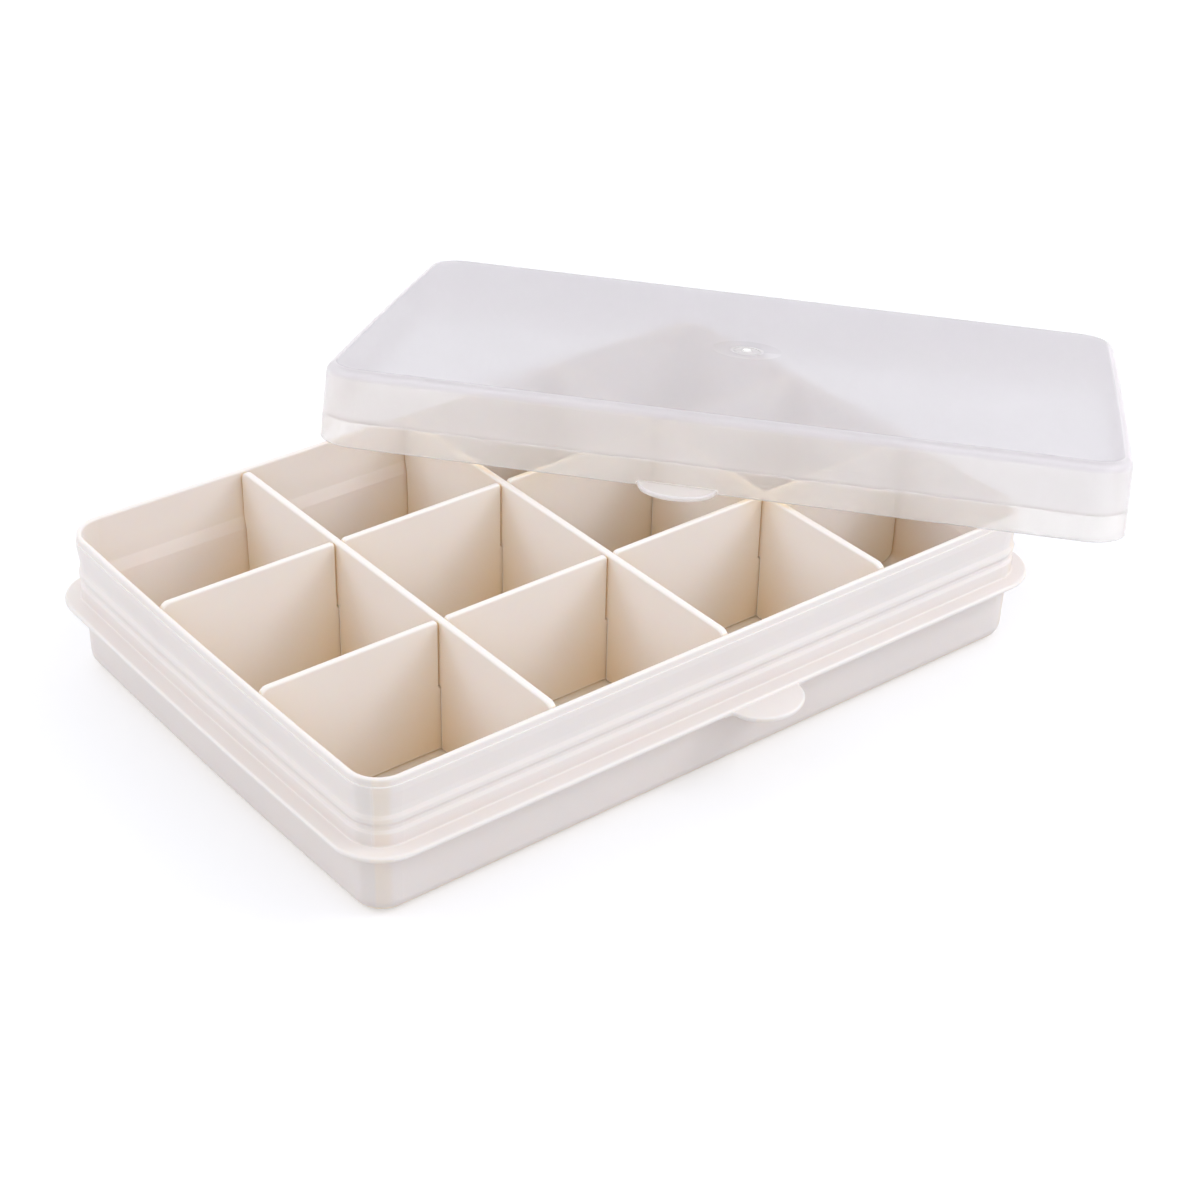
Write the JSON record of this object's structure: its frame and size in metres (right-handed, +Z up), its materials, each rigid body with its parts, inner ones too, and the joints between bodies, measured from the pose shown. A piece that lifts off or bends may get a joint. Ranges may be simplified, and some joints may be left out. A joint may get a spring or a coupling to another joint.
{
  "type": "snack container",
  "caption": "Shallow rectangular snack container with a stepped tray, removable interlocking dividers and a frosted lift-off lid leaning on its rim.",
  "frame": {"origin": "centre of the tray's flat underside", "axes": "+X along the tray's long side, towards the lid; +Y away from the tray's finger tab; +Z up"},
  "size_m": [0.3868, 0.2979, 0.0763],
  "materials": {
    "tray_plastic": "satin",
    "divider_plastic": "satin",
    "lid_plastic": "frosted"
  },
  "bodies": {
    "tray": {"tray": "tray_plastic"},
    "lid": {"lid": "lid_plastic"},
    "cross_divider_left": {"cross_divider_left": "divider_plastic"},
    "cross_divider_middle": {"cross_divider_middle": "divider_plastic"},
    "cross_divider_right": {"cross_divider_right": "divider_plastic"},
    "long_divider_front": {"long_divider_front": "divider_plastic"},
    "long_divider_back": {"long_divider_back": "divider_plastic"}
  },
  "joints": [
    {"name": "lid_lift", "type": "slide", "parent": "tray", "child": "lid", "axis": [0, 0, 1], "range_m": [0, 0.2]},
    {"name": "cross_divider_left_lift", "type": "slide", "parent": "tray", "child": "cross_divider_left", "axis": [0, 0, 1], "range_m": [0, 0.12]},
    {"name": "cross_divider_middle_lift", "type": "slide", "parent": "tray", "child": "cross_divider_middle", "axis": [0, 0, 1], "range_m": [0, 0.12]},
    {"name": "cross_divider_right_lift", "type": "slide", "parent": "tray", "child": "cross_divider_right", "axis": [0, 0, 1], "range_m": [0, 0.12]},
    {"name": "long_divider_front_lift", "type": "slide", "parent": "tray", "child": "long_divider_front", "axis": [0, 0, 1], "range_m": [0, 0.06]},
    {"name": "long_divider_back_lift", "type": "slide", "parent": "tray", "child": "long_divider_back", "axis": [0, 0, 1], "range_m": [0, 0.06]}
  ],
  "couplings": [
    {"joint": "cross_divider_left_lift", "follows": "lid_lift", "ratio": 0.6},
    {"joint": "cross_divider_middle_lift", "follows": "lid_lift", "ratio": 0.6},
    {"joint": "cross_divider_right_lift", "follows": "lid_lift", "ratio": 0.6},
    {"joint": "long_divider_front_lift", "follows": "lid_lift", "ratio": 0.3},
    {"joint": "long_divider_back_lift", "follows": "lid_lift", "ratio": 0.3}
  ]
}
